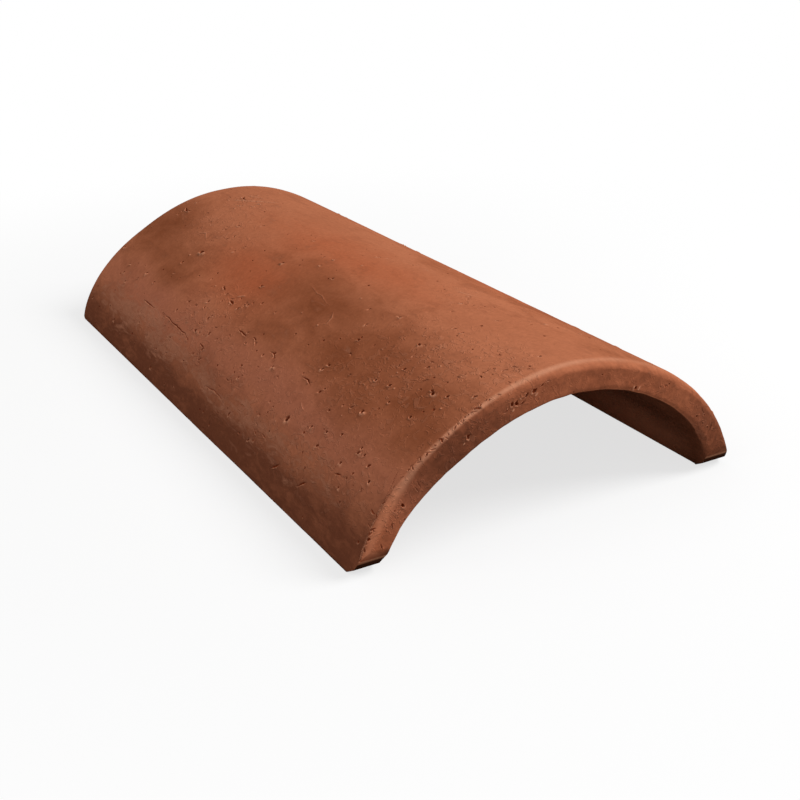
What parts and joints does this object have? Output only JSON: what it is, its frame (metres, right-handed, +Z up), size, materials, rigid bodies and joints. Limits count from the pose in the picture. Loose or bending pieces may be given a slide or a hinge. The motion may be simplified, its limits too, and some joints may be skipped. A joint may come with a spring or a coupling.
{
  "type": "clay roof tile",
  "caption": "Straight barrel roof tile of fired clay: an arched wall open below, with a rounded front edge and flat-cut feet.",
  "frame": {"origin": "on the ground, midway between the two feet and midway along the tile", "axes": "+X across the tile, +Y along it from the front end to the back end, +Z up through the crown"},
  "size_m": [0.204, 0.36, 0.0715],
  "materials": {
    "fired_clay": "unglazed, matt to low sheen, terracotta red-brown with darker fire-marks"
  },
  "bodies": {
    "root": {"barrel_tile": "fired_clay"}
  },
  "joints": []
}
